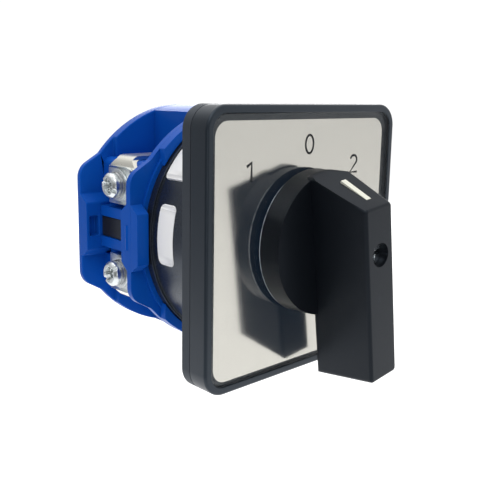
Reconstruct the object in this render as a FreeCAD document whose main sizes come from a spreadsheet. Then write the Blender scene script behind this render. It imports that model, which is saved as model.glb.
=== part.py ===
import FreeCAD, Part
import math
import os
import Sketcher

# Panel mounted rotary cam switch, positions 1, 0 and 2, one contact deck.
# X points right, Z up and Y to the back. Y = 0 is the mounting face that meets the panel,
# and the Y axis is the shaft. The front plate is at negative Y, the drum and the deck at positive Y.

doc = FreeCAD.newDocument("CamSwitch")
sheet = doc.addObject("Spreadsheet::Sheet", "Sizes")
pieces = []

SIZES = [
    # front plate
    ("plateSide", 64.0), ("plateRound", 5.5), ("frameDepth", 5.5), ("baseDepth", 2.7),
    ("lipWidth", 1.9), ("windowDepth", 1.0), ("windowPlay", 0.05), ("cardMargin", 1.8),
    ("cardThick", 0.6), ("cardRound", 3.5), ("floorThick", 1.6), ("frameWall", 2.2),
    ("frameEdgeRound", 0.7), ("plateBore", 8.1), ("fixInset", 16.0), ("fixHoleRadius", 2.25),
    ("rimHeight", 1.3), ("rimWall", 1.6), ("rimPlay", 0.1), ("baseBore", 7.2),
    # base screws
    ("baseScrewPitch", 29.0), ("baseScrewHead", 2.9), ("baseScrewHeadHeight", 1.6),
    ("baseScrewRadius", 1.45), ("baseScrewLength", 9.5), ("screwPlay", 0.1),
    # drum with the detent
    ("drumRadius", 29.0), ("drumDepth", 17.4), ("drumWall", 2.2), ("drumFloor", 2.5), ("drumLip", 0.6),
    ("drumRimDepth", 2.2), ("bearingRadius", 6.5), ("runningPlay", 0.05), ("bossRadius", 3.3),
    ("bossHeight", 7.0), ("railInner", 6.2), ("railWide", 1.8), ("railFrom", 15.5), ("railEndGap", 2.7),
    # detent star, stop plate and pawls
    ("notchDepth", 1.6), ("crestRound", 3.0), ("starCount", 8.0), ("starFront", 8.0),
    ("starDepth", 5.4), ("starHub", 8.5), ("stopFront", 3.2), ("stopDepth", 2.6), ("stopRadius", 9.5),
    ("stopReach", 16.3), ("stopArmHalf", 2.5), ("pegRadius", 1.8), ("pegCircle", 14.4),
    ("pegHeight", 3.8), ("stopPlay", 0.3), ("turnStep", 45.0), ("noseRadius", 2.5), ("nosePlay", 0.3),
    ("noseReach", 2.4), ("pawlHalf", 5.95), ("pawlBody", 4.8), ("springSpace", 3.6), ("pawlFront", 6.9),
    ("pawlDepth", 7.4), ("springSeat", 3.2), ("pawlSpringRadius", 1.9), ("pawlSpringWire", 0.35),
    ("springTurns", 3.5), ("springPlay", 0.15),
    # shaft and handle
    ("shaftSide", 7.0), ("socketPlay", 0.05), ("handleLean", 7.5), ("shaftFront", 24.2),
    ("journalRadius", 2.9), ("journalLength", 2.0), ("discRadius", 17.2), ("discTaper", 0.35),
    ("discDepth", 5.5), ("discGap", 0.7), ("knobBossRadius", 7.4), ("knobBossEnd", 3.4),
    ("barFront", 29.3), ("barWideBase", 10.0), ("barDraft", 0.7), ("barTailGap", 4.7),
    ("barTailBack", 31.7), ("barTailFront", 29.5), ("barRise", 0.2), ("barStep", 0.1), ("barNose", 10.9),
    ("slopeStart", 8.3), ("barEdgeRound", 1.0), ("barFaceRound", 0.8), ("handleScrewHead", 2.6),
    ("handleScrewHeadHeight", 1.8), ("handleScrewSink", 2.0), ("handleScrewRadius", 1.45),
    ("handleScrewLength", 11.0), ("pointerWide", 1.6), ("pointerLength", 7.8), ("pointerOffset", 3.5),
    ("pointerThick", 0.6),
    # flange outline shared by the blue mouldings, as shares of its half width
    ("earReach", 4.0), ("archShare", 1.0606), ("archDropShare", 0.1212), ("earCornerShare", 0.4485),
    ("earInnerShareX", 0.606), ("earInnerShareZ", 0.6788), ("earRound", 4.5), ("earHollow", 2.5),
    # adapter plate, contact deck and rear cover
    ("adapterFloor", 0.9), ("archLayer", 2.1), ("archLayerInset", 8.5), ("rimPlayBlue", 0.2),
    ("midFront", 6.1), ("midBack", 8.1), ("midRise", 0.7), ("hubHole", 8.0), ("flangeThick", 1.7),
    ("midStep", 2.4), ("blockInset", 6.9), ("towerReach", 13.6), ("towerWall", 2.4),
    ("towerHalf", 10.85), ("deckDepth", 20.9), ("chamberWall", 3.2), ("deckFloor", 3.4),
    ("towerSideWall", 1.45), ("contactReach", 6.5), ("coverThick", 1.7), ("coverLayer", 1.5),
    ("cheekWide", 3.1), ("coverMidRise", 1.3), ("coverPocketWall", 0.8), ("coverPocketWide", 2.7),
    ("coverPocketHalf", 2.6), ("coverPocketDepth", 2.0), ("latchRadius", 0.6), ("latchHalf", 3.0),
    ("latchSink", 0.3), ("railTop", 5.3), ("railInset", 4.0), ("channelHalf", 2.7),
    ("channelDepth", 1.6), ("markerThick", 1.2), ("markerPlay", 0.1),
    # tie bolts
    ("tieInset", 12.5), ("tieRadius", 2.0), ("tieHead", 3.4), ("tieHeadHeight", 2.2), ("nutFlats", 7.0),
    ("nutHeight", 3.2),
    # cam and contact carriages
    ("camRoom", 3.1), ("contactTravel", 1.6), ("camDepth", 8.2), ("camHub", 6.0), ("camPlay", 0.2),
    ("plungerNose", 1.0), ("stemHalf", 2.4), ("stemDepthHalf", 2.6), ("guidePlay", 0.1),
    ("neckHalf", 1.25), ("neckHeight", 2.0), ("slidePlay", 0.25), ("bridgeHalf", 9.0),
    ("bridgeDepthHalf", 3.0), ("bridgeThick", 1.2), ("tipOffset", 7.0), ("tipRadius", 1.9),
    ("tipHeight", 0.8), ("contactClear", 0.3), ("contactSpringRadius", 2.5), ("contactSpringWire", 0.4),
    # terminals
    ("terminalInset", 8.7), ("terminalDrop", 6.2), ("terminalThick", 1.0), ("terminalHalfWide", 5.7),
    ("terminalBelow", 4.4), ("terminalRound", 2.5), ("terminalBend", 3.0), ("tongueHalf", 3.5),
    ("tongueEnd", 4.6), ("clampThick", 0.9), ("clampHalfWide", 4.7), ("clampFlatHalf", 4.1),
    ("clampRound", 1.2), ("clampLip", 0.6), ("flatWasherRadius", 4.0), ("flatWasherThick", 0.6),
    ("springWasherRadius", 3.3), ("springWasherThick", 0.9), ("springWasherGap", 0.8),
    ("terminalHead", 3.15), ("terminalHeadHeight", 2.0), ("terminalDome", 0.7),
    ("terminalScrewRadius", 1.75), ("terminalScrewLength", 9.0), ("slotWide", 0.9), ("slotDeep", 0.9),
    # stickers on the drum
    ("labelThick", 0.1), ("labelPlay", 0.02), ("labelRound", 1.4), ("labelSmallWide", 5.8),
    ("labelSmallSpan", 28.5), ("labelSmallMiddle", 176.8), ("labelSmallY", 10.15),
    ("labelLargeWide", 12.2), ("labelLargeSpan", 42.0), ("labelLargeMiddle", 130.0),
    ("labelLargeY", 8.9),
]


class Size:
    """A size as the text of an expression and as a number."""

    def __init__(self, text, value):
        self.text = text
        self.value = value

    def __add__(self, other):
        other = size_of(other)
        return Size("(%s + %s)" % (self.text, other.text), self.value + other.value)

    def __radd__(self, other):
        return size_of(other) + self

    def __sub__(self, other):
        other = size_of(other)
        return Size("(%s - %s)" % (self.text, other.text), self.value - other.value)

    def __rsub__(self, other):
        return size_of(other) - self

    def __mul__(self, other):
        other = size_of(other)
        return Size("(%s * %s)" % (self.text, other.text), self.value * other.value)

    def __rmul__(self, other):
        return size_of(other) * self

    def __truediv__(self, other):
        other = size_of(other)
        return Size("(%s / %s)" % (self.text, other.text), self.value / other.value)

    def __neg__(self):
        return Size("(0 - %s)" % self.text, -self.value)


def size_of(thing):
    if isinstance(thing, Size):
        return thing
    return Size("%.6f" % thing, float(thing))


def root(thing):
    return Size("sqrt(%s)" % thing.text, math.sqrt(thing.value))


def sine(degrees):
    degrees = size_of(degrees)
    return Size("sin(%s)" % degrees.text, math.sin(math.radians(degrees.value)))


def cosine(degrees):
    degrees = size_of(degrees)
    return Size("cos(%s)" % degrees.text, math.cos(math.radians(degrees.value)))


def arcsine(ratio):
    return Size("asin(%s) / 1 deg" % ratio.text, math.degrees(math.asin(ratio.value)))


class Sheet:
    """Gives each cell of the spreadsheet as a Size by its alias."""

    def __getattr__(self, alias):
        return Size("Sizes.%s" % alias, float(sheet.get(alias)))


for row, (alias, value) in enumerate(SIZES, start=1):
    sheet.set("A%d" % row, alias)
    sheet.set("B%d" % row, "%g" % value)
    sheet.setAlias("B%d" % row, alias)
doc.recompute()
s = Sheet()

# Places and widths that several pieces share, worked out once from the sheet
fixSpacing = s.plateSide - s.fixInset
drumInner = s.drumRadius - s.drumWall
drumRimRadius = s.drumRadius + s.drumLip
railHeight = s.drumDepth - s.drumFloor - s.railEndGap
pawlTop = drumInner - s.springSpace
pawlBodyFrom = pawlTop - s.pawlBody
starCrest = pawlBodyFrom - s.noseReach - s.noseRadius - s.nosePlay
starNotch = starCrest - s.notchDepth
barWideFront = s.barWideBase - s.barDraft
earHalf = s.drumRadius + s.earReach
archRadius = earHalf * s.archShare
archDrop = earHalf * s.archDropShare
archTop = archRadius - archDrop
earCorner = earHalf * s.earCornerShare
earInnerX = earHalf * s.earInnerShareX
earInnerZ = earHalf * s.earInnerShareZ
archLayerHalf = earHalf - s.archLayerInset
blockHalf = earHalf - s.blockInset
coverLayerHalf = blockHalf - s.cheekWide
railFace = earHalf - s.railInset
channelFace = railFace - s.channelDepth
coverPocketTo = earHalf - s.coverPocketWall
coverPocketFrom = coverPocketTo - s.coverPocketWide
tieOffset = earHalf - s.tieInset
contactTop = archTop - s.towerWall
contactHalf = s.towerHalf - s.towerSideWall
blockTop = archTop - s.towerReach
chamberRadius = blockTop - s.chamberWall
camMean = chamberRadius - s.camRoom - s.contactTravel
terminalZ = blockTop - s.terminalDrop
terminalBottom = terminalZ - s.terminalBelow
plateHalf = s.plateSide / 2
plateFront = -(s.baseDepth + s.frameDepth)
baseFront = -s.baseDepth
cardFront = plateFront + s.windowDepth
cardBack = cardFront + s.cardThick
floorBack = cardBack + s.floorThick
windowHalf = plateHalf - s.lipWidth
cardHalf = windowHalf - s.cardMargin
bossPitch = s.baseScrewPitch / 2
adapterBack = s.drumDepth + s.adapterFloor
archFront = adapterBack - s.archLayer
midFrontY = archFront - s.midRise
flangeBack = adapterBack + s.flangeThick
midBackY = flangeBack + s.midStep
blockBack = adapterBack + s.deckDepth
coverFront = blockBack + s.coverLayer
coverBack = coverFront + s.coverThick
coverMidY = blockBack - s.coverMidRise
terminalY = blockBack - s.terminalInset
contactFront = terminalY - s.contactReach
camFront = terminalY - s.camDepth / 2
slopeStartY = plateFront - s.slopeStart
barTop = s.discRadius + s.barRise
discBack = plateFront - s.discGap
discFront = discBack - s.discDepth
tongueTop = blockTop + s.guidePlay + s.terminalThick
tipTop = tongueTop + s.tipHeight
restShift = s.contactTravel * s.handleLean / s.turnStep


def label_piece(item, label):
    item.Label = label
    pieces.append(item)
    return item


def bind(item, path, thing):
    item.setExpression(path, size_of(thing).text)


# Sketch helpers

PLANES = {"front": "XZ_Plane", "side": "YZ_Plane", "top": "XY_Plane"}


def body_sketch(body, plane, offset=0.0):
    """A sketch on one of the body's own planes. A front sketch at Y is offset by minus Y."""
    sketch = body.newObject("Sketcher::SketchObject", "Outline")
    support = [item for item in body.Origin.OriginFeatures if item.Role == PLANES[plane]][0]
    sketch.AttachmentSupport = (support, [""])
    sketch.MapMode = "FlatFace"
    bind(sketch, "AttachmentOffset.Base.z", -size_of(offset) if plane == "front" else offset)
    return sketch


def place_point(sketch, geometry, position, x, y):
    for kind, axis, thing in (("DistanceX", -2, size_of(x)), ("DistanceY", -1, size_of(y))):
        if abs(thing.value) < 1e-9:
            sketch.addConstraint(Sketcher.Constraint("PointOnObject", geometry, position, axis))
            continue
        index = sketch.addConstraint(Sketcher.Constraint(kind, -1, 1, geometry, position, thing.value))
        bind(sketch, "Constraints[%d]" % index, thing)


def draw_polygon(sketch, points):
    first = sketch.GeometryCount
    spots = [FreeCAD.Vector(size_of(x).value, size_of(y).value, 0) for x, y in points]
    count = len(spots)
    for i in range(count):
        sketch.addGeometry(Part.LineSegment(spots[i], spots[(i + 1) % count]))
    for i in range(count):
        after = first + (i + 1) % count
        sketch.addConstraint(Sketcher.Constraint("Coincident", first + i, 2, after, 1))
    for i, (x, y) in enumerate(points):
        place_point(sketch, first + i, 1, x, y)


def draw_box(sketch, x0, x1, y0, y1):
    draw_polygon(sketch, [(x0, y0), (x1, y0), (x1, y1), (x0, y1)])


def draw_circle(sketch, x, y, radius):
    radius = size_of(radius)
    centre = FreeCAD.Vector(size_of(x).value, size_of(y).value, 0)
    index = sketch.addGeometry(Part.Circle(centre, FreeCAD.Vector(0, 0, 1), radius.value))
    place_point(sketch, index, 3, x, y)
    datum = sketch.addConstraint(Sketcher.Constraint("Radius", index, radius.value))
    bind(sketch, "Constraints[%d]" % datum, radius)


def draw_rounded(sketch, half_x, half_y, radius, middle=(0.0, 0.0)):
    """A rectangle with round corners: four lines, four tangent arcs."""
    half_x, half_y, radius = size_of(half_x), size_of(half_y), size_of(radius)
    mid_x, mid_y = size_of(middle[0]), size_of(middle[1])
    a, b, r = half_x.value, half_y.value, radius.value
    base = FreeCAD.Vector(mid_x.value, mid_y.value, 0)
    spot = lambda x, y: base + FreeCAD.Vector(x, y, 0)
    up = FreeCAD.Vector(0, 0, 1)
    first = sketch.GeometryCount
    sketch.addGeometry(Part.LineSegment(spot(-a + r, -b), spot(a - r, -b)))
    sketch.addGeometry(Part.ArcOfCircle(Part.Circle(spot(a - r, -b + r), up, r), -math.pi / 2, 0))
    sketch.addGeometry(Part.LineSegment(spot(a, -b + r), spot(a, b - r)))
    sketch.addGeometry(Part.ArcOfCircle(Part.Circle(spot(a - r, b - r), up, r), 0, math.pi / 2))
    sketch.addGeometry(Part.LineSegment(spot(a - r, b), spot(-a + r, b)))
    sketch.addGeometry(Part.ArcOfCircle(Part.Circle(spot(-a + r, b - r), up, r), math.pi / 2, math.pi))
    sketch.addGeometry(Part.LineSegment(spot(-a, b - r), spot(-a, -b + r)))
    sketch.addGeometry(Part.ArcOfCircle(Part.Circle(spot(-a + r, -b + r), up, r), math.pi, 1.5 * math.pi))
    for i in range(8):
        sketch.addConstraint(Sketcher.Constraint("Tangent", first + i, 2, first + (i + 1) % 8, 1))
    for arc in (3, 5, 7):
        sketch.addConstraint(Sketcher.Constraint("Equal", first + 1, first + arc))
    for line in (0, 4):
        sketch.addConstraint(Sketcher.Constraint("Horizontal", first + line))
    sketch.addConstraint(Sketcher.Constraint("Vertical", first + 2))
    sides = (("DistanceY", 0, mid_y - half_y), ("DistanceX", 2, mid_x + half_x),
             ("DistanceY", 4, mid_y + half_y), ("DistanceX", 6, mid_x - half_x))
    for kind, line, thing in sides:
        index = sketch.addConstraint(Sketcher.Constraint(kind, -1, 1, first + line, 1, thing.value))
        bind(sketch, "Constraints[%d]" % index, thing)
    datum = sketch.addConstraint(Sketcher.Constraint("Radius", first + 1, radius.value))
    bind(sketch, "Constraints[%d]" % datum, radius)


# PartDesign helpers

def new_body(label):
    return label_piece(doc.addObject("PartDesign::Body", label), label)


def pad(body, sketch, length, reverse=False):
    feature = body.newObject("PartDesign::Pad", "Pad")
    feature.Profile = sketch
    bind(feature, "Length", length)
    feature.Reversed = reverse
    return feature


def pad_back(body, sketch, length):
    """A front sketch faces minus Y, so a pad towards the back is reversed."""
    return pad(body, sketch, length, reverse=True)


def pocket_back(body, sketch, length):
    """A pocket from a front sketch cuts towards the back without being reversed."""
    feature = body.newObject("PartDesign::Pocket", "Pocket")
    feature.Profile = sketch
    bind(feature, "Length", length)
    return feature


def pocket(body, sketch, length, reverse=False):
    feature = pocket_back(body, sketch, length)
    feature.Reversed = reverse
    return feature


def revolve(body, sketch, axis):
    feature = body.newObject("PartDesign::Revolution", "Revolution")
    feature.Profile = sketch
    feature.ReferenceAxis = (sketch, [axis])
    feature.Angle = 360
    return feature


def edges_where(shape, test):
    names = []
    for number, edge in enumerate(shape.Edges, start=1):
        spots = [edge.valueAt(t) for t in (edge.FirstParameter, (edge.FirstParameter + edge.LastParameter) / 2,
                                           edge.LastParameter)]
        if all(test(spot) for spot in spots):
            names.append("Edge%d" % number)
    return names


def round_edges(body, feature, radius, test):
    doc.recompute()
    fillet = body.newObject("PartDesign::Fillet", "Fillet")
    fillet.Base = (feature, edges_where(feature.Shape, test))
    bind(fillet, "Radius", radius)
    return fillet


# Part helpers

def box(x0, x1, y0, y1, z0, z1):
    item = doc.addObject("Part::Box", "Box")
    for side, low, high, place in (("Length", x0, x1, "x"), ("Width", y0, y1, "y"), ("Height", z0, z1, "z")):
        bind(item, side, size_of(high) - low)
        bind(item, "Placement.Base.%s" % place, low)
    return item


TURNS = {"x": FreeCAD.Rotation(FreeCAD.Vector(0, 1, 0), 90), "y": FreeCAD.Rotation(FreeCAD.Vector(1, 0, 0), -90),
         "z": FreeCAD.Rotation()}


def rod(axis, start, end, radius, first=0.0, second=0.0):
    """A cylinder along an axis. first and second are its place on the other two axes, in X, Y, Z order."""
    item = doc.addObject("Part::Cylinder", "Rod")
    bind(item, "Radius", radius)
    bind(item, "Height", size_of(end) - start)
    item.Placement = FreeCAD.Placement(FreeCAD.Vector(), TURNS[axis])
    others = [name for name in "xyz" if name != axis]
    bind(item, "Placement.Base.%s" % axis, start)
    bind(item, "Placement.Base.%s" % others[0], first)
    bind(item, "Placement.Base.%s" % others[1], second)
    return item


def prism(plane, points, start, end):
    """A polygon drawn across an axis and extruded along it: side along X, front along Y, top along Z."""
    sketch = doc.addObject("Sketcher::SketchObject", "Profile")
    turn, path, along = {
        "side": (FreeCAD.Rotation(FreeCAD.Vector(0, 1, 0), FreeCAD.Vector(0, 0, 1), FreeCAD.Vector(1, 0, 0)),
                 "x", FreeCAD.Vector(1, 0, 0)),
        "front": (FreeCAD.Rotation(FreeCAD.Vector(1, 0, 0), FreeCAD.Vector(0, 0, 1), FreeCAD.Vector(0, -1, 0)),
                  "y", FreeCAD.Vector(0, 1, 0)),
        "top": (FreeCAD.Rotation(), "z", FreeCAD.Vector(0, 0, 1)),
    }[plane]
    sketch.Placement = FreeCAD.Placement(FreeCAD.Vector(), turn)
    bind(sketch, "Placement.Base.%s" % path, start)
    draw_polygon(sketch, points)
    item = doc.addObject("Part::Extrusion", "Prism")
    item.Base = sketch
    item.DirMode = "Custom"
    item.Dir = along
    item.Solid = True
    bind(item, "LengthFwd", size_of(end) - start)
    return item


def fuse(*items):
    item = doc.addObject("Part::MultiFuse", "Fuse")
    item.Shapes = list(items)
    item.Refine = True
    return item


def common(*items):
    item = doc.addObject("Part::MultiCommon", "Common")
    item.Shapes = list(items)
    return item


def cut(base, *tools):
    item = doc.addObject("Part::Cut", "Cut")
    item.Base = base
    item.Tool = tools[0] if len(tools) == 1 else fuse(*tools)
    item.Refine = True
    return item


def group(label, items):
    item = doc.addObject("Part::Compound", label)
    item.Links = items
    return label_piece(item, label)


def fillet_edges(base, radius, test, skip=None):
    """Rounds the edges that lie wholly where test holds, apart from those wholly where skip holds."""
    doc.recompute()
    names = edges_where(base.Shape, test)
    if skip:
        left_out = edges_where(base.Shape, skip)
        names = [name for name in names if name not in left_out]
    item = doc.addObject("Part::Fillet", "Rounded")
    item.Base = base
    item.Edges = [(int(name[4:]), radius.value, radius.value) for name in names]
    return item


def coded(label, shape):
    """A piece whose outline is a formula, which no sketch or primitive gives."""
    item = doc.addObject("Part::Feature", label)
    item.Shape = shape
    return item


def lean(item):
    """Turns a piece of the rotor by the angle at which the handle stands, towards position 1."""
    item.Placement = FreeCAD.Placement(
        FreeCAD.Vector(), FreeCAD.Rotation(FreeCAD.Vector(0, -1, 0), s.handleLean.value))
    return item


# Front plate

def make_bezel_frame():
    body = new_body("bezel_frame")
    outline = body_sketch(body, "front", plateFront)
    draw_rounded(outline, plateHalf, plateHalf, s.plateRound)
    block = pad_back(body, outline, s.frameDepth)
    round_edges(body, block, s.frameEdgeRound, lambda p: abs(p.y - plateFront.value) < 1e-6)
    window = body_sketch(body, "front", plateFront)
    draw_rounded(window, windowHalf, windowHalf, s.plateRound - s.lipWidth)
    pocket_back(body, window, s.windowDepth)
    card = body_sketch(body, "front", cardFront)
    draw_rounded(card, cardHalf + s.windowPlay, cardHalf + s.windowPlay, s.cardRound)
    pocket_back(body, card, s.cardThick)
    hollow = body_sketch(body, "front", floorBack)
    inner = plateHalf - s.frameWall
    draw_rounded(hollow, inner, inner, s.plateRound - s.frameWall)
    pocket_back(body, hollow, baseFront - floorBack)
    bore = body_sketch(body, "front", plateFront)
    draw_circle(bore, 0, 0, s.plateBore)
    pocket_back(body, bore, s.frameDepth)


def make_sheet(label, half, corner, front, thick):
    body = new_body(label)
    outline = body_sketch(body, "front", front)
    draw_rounded(outline, half, half, corner)
    draw_circle(outline, 0, 0, s.plateBore)
    pad_back(body, outline, thick)


def make_window_and_card():
    play = s.windowPlay
    make_sheet("plate_window", windowHalf - play, s.plateRound - s.lipWidth - play, plateFront + play,
               s.windowDepth - play)
    make_sheet("legend_card", cardHalf, s.cardRound, cardFront, s.cardThick)


def fixing_spots(pitch):
    return [(pitch * i, pitch * j) for i in (-1, 1) for j in (-1, 1)]


def make_base_plate():
    body = new_body("base_plate")
    outline = body_sketch(body, "front", baseFront)
    draw_rounded(outline, plateHalf, plateHalf, s.plateRound)
    pad_back(body, outline, s.baseDepth)
    rim_half = plateHalf - s.frameWall - s.rimPlay
    rim = body_sketch(body, "front", baseFront - s.rimHeight)
    draw_rounded(rim, rim_half, rim_half, s.plateRound - s.frameWall - s.rimPlay)
    draw_rounded(rim, rim_half - s.rimWall, rim_half - s.rimWall,
                 s.plateRound - s.frameWall - s.rimPlay - s.rimWall)
    pad_back(body, rim, s.rimHeight + s.rimPlay)
    holes = body_sketch(body, "front", baseFront)
    for x, z in fixing_spots(fixSpacing / 2):
        draw_circle(holes, x, z, s.fixHoleRadius)
    for x, z in fixing_spots(bossPitch):
        draw_circle(holes, x, z, s.baseScrewRadius + s.screwPlay)
    draw_circle(holes, 0, 0, s.baseBore)
    pocket_back(body, holes, s.baseDepth)


def make_base_screws():
    items = []
    for x, z in fixing_spots(bossPitch):
        head = rod("y", baseFront - s.baseScrewHeadHeight, baseFront, s.baseScrewHead, x, z)
        shank = rod("y", baseFront - s.rimPlay, baseFront + s.baseScrewLength, s.baseScrewRadius, x, z)
        items.append(fuse(head, shank))
    group("base_screws", items)


# Drum with the detent

def make_drum_housing():
    body = new_body("drum_housing")
    shell = body_sketch(body, "top")
    inner = drumInner
    bore = s.bearingRadius + s.runningPlay
    rim_front = s.drumDepth - s.drumRimDepth
    draw_polygon(shell, [(bore, 0), (s.drumRadius, 0), (s.drumRadius, rim_front), (drumRimRadius, rim_front),
                         (drumRimRadius, s.drumDepth), (inner, s.drumDepth), (inner, s.drumFloor),
                         (bore, s.drumFloor)])
    revolve(body, shell, "V_Axis")
    rails = body_sketch(body, "front", s.drumFloor)
    outer = s.railInner + s.railWide
    reach = inner + s.drumWall / 2
    for x0, x1 in ((s.railInner, outer), (-outer, -s.railInner)):
        draw_box(rails, x0, x1, s.railFrom, root(reach * reach - outer * outer))
        draw_box(rails, x0, x1, -root(reach * reach - outer * outer), -s.railFrom)
    pad_back(body, rails, railHeight)
    bosses = body_sketch(body, "front", s.drumFloor)
    for x, z in fixing_spots(bossPitch):
        draw_circle(bosses, x, z, s.bossRadius)
    pad_back(body, bosses, s.bossHeight)
    pegs = body_sketch(body, "front", s.drumFloor)
    turn = s.turnStep + arcsine((s.stopArmHalf + s.pegRadius + s.stopPlay) / s.pegCircle)
    for side in (-1, 1):
        draw_circle(pegs, s.pegCircle * sine(turn) * side, s.pegCircle * cosine(turn), s.pegRadius)
    pad_back(body, pegs, s.pegHeight)
    holes = body_sketch(body, "front", 0)
    for x, z in fixing_spots(bossPitch):
        draw_circle(holes, x, z, s.baseScrewRadius)
    pocket_back(body, holes, s.drumFloor + s.bossHeight - s.drumFloor / 2)
    ties = body_sketch(body, "front", 0)
    for side in (-1, 1):
        draw_circle(ties, tieOffset * side, 0, s.tieRadius + s.screwPlay)
    pocket_back(body, ties, s.drumFloor)


def polar(radius, degrees):
    angle = math.radians(degrees)
    return FreeCAD.Vector(radius * math.cos(angle), 0, radius * math.sin(angle))


def star_face(notch, crest, crest_round, count):
    """A closed outline of arcs in the XZ plane: a notch at the top, each notch arc tangent to the crest arcs."""
    half = 180.0 / count
    crest_centre = crest - crest_round
    across = crest_centre * math.cos(math.radians(half))
    top = crest_centre ** 2 + notch ** 2 - 2 * across * notch - crest_round ** 2
    notch_round = top / (2 * crest_round - 2 * notch + 2 * across)
    edges = []
    for i in range(count):
        middle = 90 + 2 * half * i
        hollow = polar(notch + notch_round, middle)
        joints = []
        for side in (-1, 1):
            lobe = polar(crest_centre, middle + half * side)
            joints.append(lobe + (hollow - lobe) * (crest_round / (crest_round + notch_round)))
        edges.append(Part.Arc(joints[0], polar(notch, middle), joints[1]).toShape())
        turn = FreeCAD.Rotation(FreeCAD.Vector(0, -1, 0), 2 * half)
        edges.append(Part.Arc(joints[1], polar(crest, middle + half), turn.multVec(joints[0])).toShape())
    return Part.Face(Part.Wire(edges))


def make_star_wheel():
    face = star_face(starNotch.value, starCrest.value, s.crestRound.value, int(s.starCount.value))
    face.translate(FreeCAD.Vector(0, s.starFront.value, 0))
    star = coded("StarTeeth", face.extrude(FreeCAD.Vector(0, s.starDepth.value, 0)))
    hub = rod("y", s.stopFront + s.stopDepth, s.starFront + s.starDepth, s.starHub)
    label_piece(lean(cut(fuse(star, hub), square_bore())), "star_wheel")


def square_bore():
    half = s.shaftSide / 2 + s.socketPlay
    return box(-half, half, -s.barFront, coverBack, -half, half)


def make_stop_plate():
    disc = rod("y", s.stopFront, s.stopFront + s.stopDepth, s.stopRadius)
    hub = rod("y", -s.drumFloor / 4, s.stopFront, s.bearingRadius)
    arm = box(-s.stopArmHalf, s.stopArmHalf, s.stopFront, s.stopFront + s.stopDepth, 0, s.stopReach)
    label_piece(lean(cut(fuse(disc, hub, arm), square_bore())), "stop_plate")


def make_pawl(label, angle):
    body = new_body(label)
    nose_z = starCrest + s.nosePlay + s.noseRadius
    nose = body_sketch(body, "front", s.pawlFront)
    draw_circle(nose, 0, nose_z, s.noseRadius)
    pad_back(body, nose, s.pawlDepth)
    slab = body_sketch(body, "front", s.pawlFront)
    r, w = s.noseRadius, s.pawlHalf
    draw_polygon(slab, [(-r, nose_z), (r, nose_z), (r, pawlBodyFrom), (w, pawlBodyFrom), (w, pawlTop),
                        (-w, pawlTop), (-w, pawlBodyFrom), (-r, pawlBodyFrom)])
    pad_back(body, slab, s.pawlDepth)
    seat = body_sketch(body, "top", pawlTop)
    draw_circle(seat, 0, s.pawlFront + s.pawlDepth / 2, s.pawlSpringRadius + s.pawlSpringWire + s.springPlay)
    pocket(body, seat, s.springSeat)
    body.Placement = FreeCAD.Placement(FreeCAD.Vector(), FreeCAD.Rotation(FreeCAD.Vector(0, 1, 0), angle))


def make_coil(label, level, radius, wire, low, high, y):
    """A coil of square wire along Z between two seats, above the shaft for level 1, below it for level -1."""
    rise = (high - low - 2 * wire).value
    helix = Part.makeHelix(rise / s.springTurns.value, rise, radius.value)
    half = wire.value
    corners = [(-half, -half), (half, -half), (half, half), (-half, half), (-half, -half)]
    section = Part.makePolygon([FreeCAD.Vector(radius.value + x, 0, z) for x, z in corners])
    sweep = Part.Wire(helix).makePipeShell([section], True, True)
    item = label_piece(coded(label, sweep), label)
    turn = FreeCAD.Rotation(FreeCAD.Vector(0, 1, 0), 0 if level > 0 else 180)
    item.Placement = FreeCAD.Placement(FreeCAD.Vector(), turn)
    bind(item, "Placement.Base.y", y)
    bind(item, "Placement.Base.z", (low + wire) * level)


def make_pawl_springs():
    outer = s.pawlSpringRadius + s.pawlSpringWire
    low = pawlTop - s.springSeat + s.springPlay
    high = root(drumInner * drumInner - outer * outer) - s.springPlay
    for word, level in (("upper", 1), ("lower", -1)):
        make_coil("detent_spring_" + word, level, s.pawlSpringRadius, s.pawlSpringWire, low, high,
                  s.pawlFront + s.pawlDepth / 2)


def make_label(label, wide, span, middle, place):
    """A sticker wrapped on the drum: what a block with rounded corners takes out of a thin sleeve."""
    inner = s.drumRadius + s.labelPlay
    sleeve = cut(rod("y", place - wide, place + wide, inner + s.labelThick),
                 rod("y", place - wide, place + wide, inner))
    half = inner * sine(span / 2)
    block = box(0, s.drumRadius * 2, place - wide / 2, place + wide / 2, -half, half)
    corner = lambda p: (abs(abs(p.y - place.value) - wide.value / 2) < 0.01
                        and abs(abs(p.z) - half.value) < 0.01)
    sticker = common(sleeve, fillet_edges(block, s.labelRound, corner))
    sticker.Placement = FreeCAD.Placement(
        FreeCAD.Vector(), FreeCAD.Rotation(FreeCAD.Vector(0, -1, 0), middle.value))
    label_piece(sticker, label)


def make_drum_labels():
    make_label("drum_label_lower", s.labelSmallWide, s.labelSmallSpan, s.labelSmallMiddle, s.labelSmallY)
    make_label("drum_label_upper", s.labelLargeWide, s.labelLargeSpan, s.labelLargeMiddle, s.labelLargeY)


# Shaft and handle

def make_shaft():
    half = s.shaftSide / 2
    square_end = blockBack - s.stopPlay
    square = box(-half, half, -s.shaftFront, square_end, -half, half)
    journal = rod("y", square_end - half, blockBack + s.journalLength, s.journalRadius)
    bore = rod("y", -s.shaftFront, -s.shaftFront + s.handleScrewLength, s.handleScrewRadius)
    label_piece(lean(cut(fuse(square, journal), bore)), "shaft")


def slope_spot(distance, depth):
    """A point at a distance down the sloping end of the bar and a depth under its face, as Y and Z."""
    run = -(s.barFront + slopeStartY)
    fall = barTop - s.barNose
    length = root(run * run + fall * fall)
    along_y, along_z = run / length, -(fall / length)
    return (slopeStartY + along_y * distance + along_z * depth * -1,
            barTop + along_z * distance + along_y * depth)


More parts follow.
